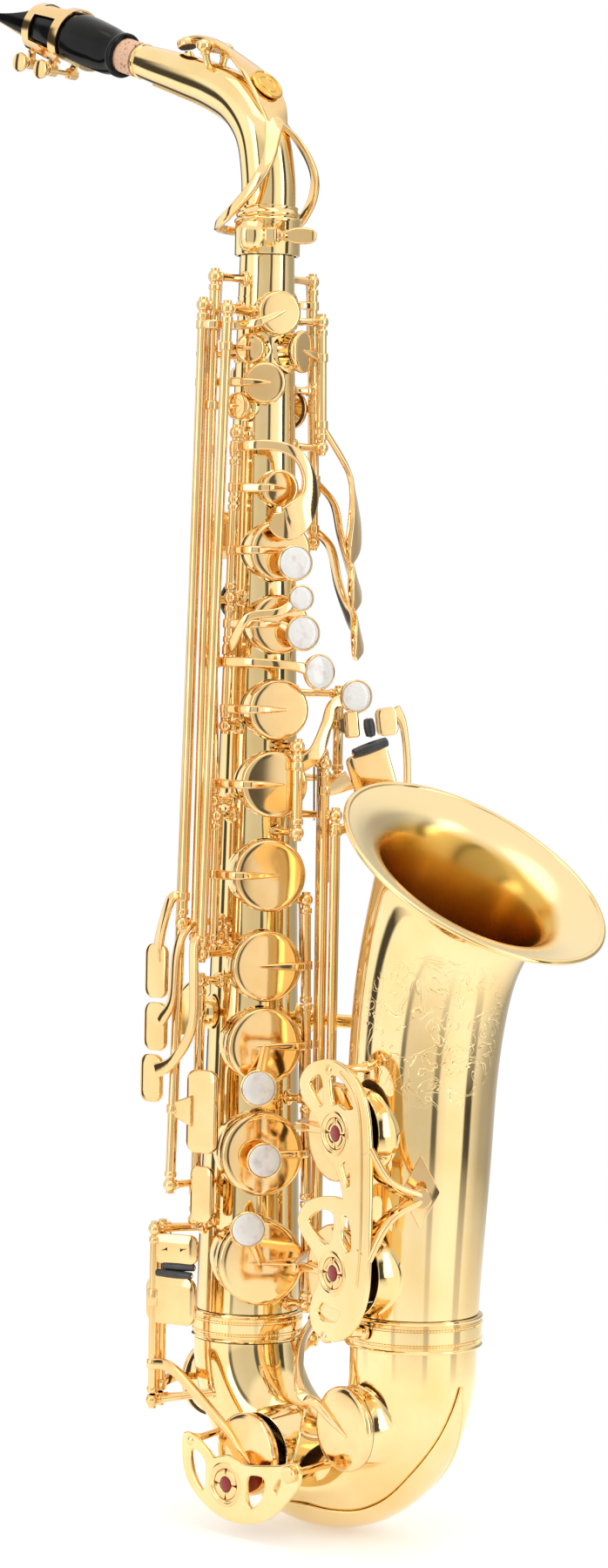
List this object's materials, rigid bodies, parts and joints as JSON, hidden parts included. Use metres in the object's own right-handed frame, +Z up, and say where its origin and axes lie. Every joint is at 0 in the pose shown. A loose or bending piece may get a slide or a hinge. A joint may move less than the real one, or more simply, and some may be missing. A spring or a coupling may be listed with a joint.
{
  "type": "alto saxophone",
  "caption": "Lacquered brass alto saxophone with curved neck, black mouthpiece, upturned bell, tone-hole cups, rods, pearl touches and hinged keys.",
  "frame": {"origin": "centre of the bounding box footprint at the lowest point", "axes": "+Z up along the body tube, +X towards the bell, -Y towards the right-hand side keys"},
  "size_m": [0.3592, 0.1246, 0.693],
  "materials": {
    "lacquer": "polished",
    "ebonite": "glossy",
    "cork": "matte",
    "cane": "satin",
    "pearl": "glossy"
  },
  "bodies": {
    "root": {"body_tube": "lacquer", "neck_receiver": "lacquer", "body_bow_ring": "lacquer", "bell_bow_ring": "lacquer", "bow": "lacquer", "bell": "lacquer", "bell_brace": "lacquer", "bell_key_guard": "lacquer", "low_c_guard": "lacquer", "bow_guard": "lacquer", "strap_ring": "lacquer", "thumb_hook": "lacquer", "thumb_rest": "ebonite"},
    "neck": {"neck_tube": "lacquer", "neck_cork": "cork"},
    "mouthpiece": {"mouthpiece": "ebonite", "reed": "cane", "ligature": "lacquer"},
    "ligature_screw_front": {"ligature_screw_front": "lacquer"},
    "ligature_screw_back": {"ligature_screw_back": "lacquer"},
    "neck_screw": {"neck_screw": "lacquer"},
    "neck_octave_key": {"neck_octave_key": "lacquer"},
    "c_vent_key": {"c_vent_key": "lacquer"},
    "b_key": {"b_key": "lacquer", "b_pearl": "pearl"},
    "a_key": {"a_key": "lacquer", "a_pearl": "pearl"},
    "f_key": {"f_key": "lacquer", "f_pearl": "pearl"},
    "e_key": {"e_key": "lacquer", "e_pearl": "pearl"},
    "d_key": {"d_key": "lacquer", "d_pearl": "pearl"},
    "f_sharp_key": {"f_sharp_key": "lacquer"},
    "bis_key": {"bis_key": "lacquer", "bis_pearl": "pearl"},
    "g_key": {"g_key": "lacquer", "g_pearl": "pearl"},
    "front_f_key": {"front_f_key": "lacquer"},
    "g_sharp_key": {"g_sharp_key": "lacquer"},
    "high_e_key": {"high_e_key": "lacquer"},
    "side_c_key": {"side_c_key": "lacquer"},
    "side_bb_key": {"side_bb_key": "lacquer"},
    "high_f_sharp_key": {"high_f_sharp_key": "lacquer"},
    "trill_key": {"trill_key": "lacquer"},
    "palm_d_key": {"palm_d_key": "lacquer"},
    "palm_eb_key": {"palm_eb_key": "lacquer"},
    "palm_f_key": {"palm_f_key": "lacquer"},
    "g_sharp_touch": {"g_sharp_touch": "lacquer", "g_sharp_pearl": "pearl"},
    "low_bb_key": {"low_bb_key": "lacquer"},
    "low_b_key": {"low_b_key": "lacquer"},
    "low_c_sharp_key": {"low_c_sharp_key": "lacquer"},
    "low_c_sharp_touch": {"low_c_sharp_touch": "lacquer"},
    "low_c_key": {"low_c_key": "lacquer"},
    "low_eb_key": {"low_eb_key": "lacquer"},
    "body_octave_key": {"body_octave_key": "lacquer"},
    "thumb_octave_lever": {"thumb_octave_lever": "lacquer"}
  },
  "joints": [
    {"name": "neck_swivel", "type": "hinge", "parent": "root", "child": "neck", "pos_m": [-0.00136, 0, 0.5723], "axis": [0, 0, 1], "range_deg": [-12, 12]},
    {"name": "mouthpiece_slide", "type": "slide", "parent": "neck", "child": "mouthpiece", "axis": [-0.9536, 0, 0.301], "range_m": [0, 0.008]},
    {"name": "ligature_screw_front_turn", "type": "hinge", "parent": "mouthpiece", "child": "ligature_screw_front", "pos_m": [-0.15183, 0, 0.66234], "axis": [0, -1, 0], "continuous": true},
    {"name": "ligature_screw_back_turn", "type": "hinge", "parent": "mouthpiece", "child": "ligature_screw_back", "pos_m": [-0.13753, 0, 0.65782], "axis": [0, -1, 0], "continuous": true},
    {"name": "neck_screw_turn", "type": "hinge", "parent": "root", "child": "neck_screw", "pos_m": [0.01133, -0.0136, 0.5718], "axis": [0.7314, 0.682, 0], "continuous": true},
    {"name": "neck_octave_key_hinge", "type": "hinge", "parent": "neck", "child": "neck_octave_key", "pos_m": [-0.03636, 0, 0.6603], "axis": [0, 1, 0], "range_deg": [0, 2.5]},
    {"name": "c_vent_key_hinge", "type": "hinge", "parent": "root", "child": "c_vent_key", "pos_m": [0.00345, -0.02262, 0.4843], "axis": [0.002, 0.0244, 0.9997], "range_deg": [0, 7]},
    {"name": "b_key_hinge", "type": "hinge", "parent": "root", "child": "b_key", "pos_m": [0.00345, -0.02262, 0.4843], "axis": [0.002, 0.0244, 0.9997], "range_deg": [0, 7]},
    {"name": "a_key_hinge", "type": "hinge", "parent": "root", "child": "a_key", "pos_m": [0.00345, -0.02262, 0.4843], "axis": [0.002, 0.0244, 0.9997], "range_deg": [0, 7]},
    {"name": "f_key_hinge", "type": "hinge", "parent": "root", "child": "f_key", "pos_m": [0.02754, 0.00253, 0.2773], "axis": [0.0238, 0.0021, -0.9997], "range_deg": [0, 7]},
    {"name": "e_key_hinge", "type": "hinge", "parent": "root", "child": "e_key", "pos_m": [0.02754, 0.00253, 0.2773], "axis": [0.0238, 0.0021, -0.9997], "range_deg": [0, 7]},
    {"name": "d_key_hinge", "type": "hinge", "parent": "root", "child": "d_key", "pos_m": [0.02754, 0.00253, 0.2773], "axis": [0.0238, 0.0021, -0.9997], "range_deg": [0, 7]},
    {"name": "f_sharp_key_hinge", "type": "hinge", "parent": "root", "child": "f_sharp_key", "pos_m": [0.02754, 0.00253, 0.2773], "axis": [0.0238, 0.0021, -0.9997], "range_deg": [0, 7]},
    {"name": "bis_key_hinge", "type": "hinge", "parent": "root", "child": "bis_key", "pos_m": [0.00345, -0.02262, 0.4843], "axis": [0.002, 0.0244, 0.9997], "range_deg": [0, 7]},
    {"name": "g_key_hinge", "type": "hinge", "parent": "root", "child": "g_key", "pos_m": [-0.00605, -0.02659, 0.4103], "axis": [-0.0523, 0.0102, 0.9986], "range_deg": [0, 7]},
    {"name": "front_f_key_hinge", "type": "hinge", "parent": "root", "child": "front_f_key", "pos_m": [0.00345, -0.02262, 0.4843], "axis": [0.002, 0.0244, 0.9997], "range_deg": [0, 4]},
    {"name": "g_sharp_key_hinge", "type": "hinge", "parent": "root", "child": "g_sharp_key", "pos_m": [0.00057, -0.02753, 0.3143], "axis": [0.0017, -0.0237, -0.9997], "range_deg": [0, 6]},
    {"name": "high_e_key_hinge", "type": "hinge", "parent": "root", "child": "high_e_key", "pos_m": [-0.00735, -0.03398, 0.5403], "axis": [0.001, -0.0242, -0.9997], "range_deg": [0, 6]},
    {"name": "side_c_key_hinge", "type": "hinge", "parent": "root", "child": "side_c_key", "pos_m": [-0.00586, -0.02845, 0.5533], "axis": [0.011, -0.0274, -0.9996], "range_deg": [0, 6]},
    {"name": "side_bb_key_hinge", "type": "hinge", "parent": "root", "child": "side_bb_key", "pos_m": [0.00584, -0.0322, 0.5383], "axis": [-0.0057, -0.026, -0.9996], "range_deg": [0, 6]},
    {"name": "high_f_sharp_key_hinge", "type": "hinge", "parent": "root", "child": "high_f_sharp_key", "pos_m": [-0.01356, -0.02741, 0.5193], "axis": [0.0088, -0.0396, -0.9992], "range_deg": [0, 6]},
    {"name": "trill_key_hinge", "type": "hinge", "parent": "root", "child": "trill_key", "pos_m": [-0.00553, -0.02971, 0.2403], "axis": [0.0013, 0.0093, 1], "range_deg": [0, 6]},
    {"name": "palm_d_key_hinge", "type": "hinge", "parent": "root", "child": "palm_d_key", "pos_m": [0.01834, 0.01539, 0.5353], "axis": [-0.0141, -0.011, 0.9998], "range_deg": [0, 6]},
    {"name": "palm_eb_key_hinge", "type": "hinge", "parent": "root", "child": "palm_eb_key", "pos_m": [0.0061, 0.02439, 0.5053], "axis": [0.0064, 0.0208, -0.9998], "range_deg": [0, 6]},
    {"name": "palm_f_key_hinge", "type": "hinge", "parent": "root", "child": "palm_f_key", "pos_m": [-0.00136, 0.03, 0.5553], "axis": [0.0096, 0.021, -0.9997], "range_deg": [0, 6]},
    {"name": "g_sharp_touch_hinge", "type": "hinge", "parent": "root", "child": "g_sharp_touch", "pos_m": [0.03307, -0.01052, 0.3459], "axis": [0.0151, -0.0046, -0.9999], "range_deg": [0, 4]},
    {"name": "low_bb_key_hinge", "type": "hinge", "parent": "root", "child": "low_bb_key", "pos_m": [0.03349, 0.00677, 0.3383], "axis": [-0.0048, 0.0019, 1], "range_deg": [0, 4.4]},
    {"name": "low_b_key_hinge", "type": "hinge", "parent": "root", "child": "low_b_key", "pos_m": [0.03894, 0.00857, 0.3153], "axis": [-0.0064, 0.0038, 1], "range_deg": [0, 4.4]},
    {"name": "low_c_sharp_key_hinge", "type": "hinge", "parent": "root", "child": "low_c_sharp_key", "pos_m": [0.02537, 0.01362, 0.3423], "axis": [0.0051, 0.0026, -1], "range_deg": [0, 5]},
    {"name": "low_c_sharp_touch_hinge", "type": "hinge", "parent": "root", "child": "low_c_sharp_touch", "pos_m": [0.02701, 0.02216, 0.3693], "axis": [0, 0, 1], "range_deg": [0, 4]},
    {"name": "low_c_key_hinge", "type": "hinge", "parent": "root", "child": "low_c_key", "pos_m": [-0.01859, -0.04265, 0.1287], "axis": [0, 0, 1], "range_deg": [0, 5]},
    {"name": "low_eb_key_hinge", "type": "hinge", "parent": "root", "child": "low_eb_key", "pos_m": [-0.02099, -0.03542, 0.1287], "axis": [0, 0, 1], "range_deg": [0, 5]},
    {"name": "body_octave_key_hinge", "type": "hinge", "parent": "root", "child": "body_octave_key", "pos_m": [-0.02125, 0.01342, 0.5453], "axis": [-0.0085, 0.0057, -0.9999], "range_deg": [0, 3]},
    {"name": "thumb_octave_lever_hinge", "type": "hinge", "parent": "root", "child": "thumb_octave_lever", "pos_m": [-0.02431, 0.00323, 0.4313], "axis": [-0.1392, -0.9903, 0], "range_deg": [0, 6]}
  ],
  "couplings": [
    {"joint": "neck_octave_key_hinge", "follows": "thumb_octave_lever_hinge", "ratio": 0.41},
    {"joint": "body_octave_key_hinge", "follows": "thumb_octave_lever_hinge", "ratio": 0.49},
    {"joint": "g_sharp_key_hinge", "follows": "g_sharp_touch_hinge", "ratio": 1.49},
    {"joint": "f_sharp_key_hinge", "follows": "f_key_hinge", "ratio": 1},
    {"joint": "c_vent_key_hinge", "follows": "a_key_hinge", "ratio": 1},
    {"joint": "low_c_sharp_key_hinge", "follows": "low_c_sharp_touch_hinge", "ratio": 1.24}
  ]
}
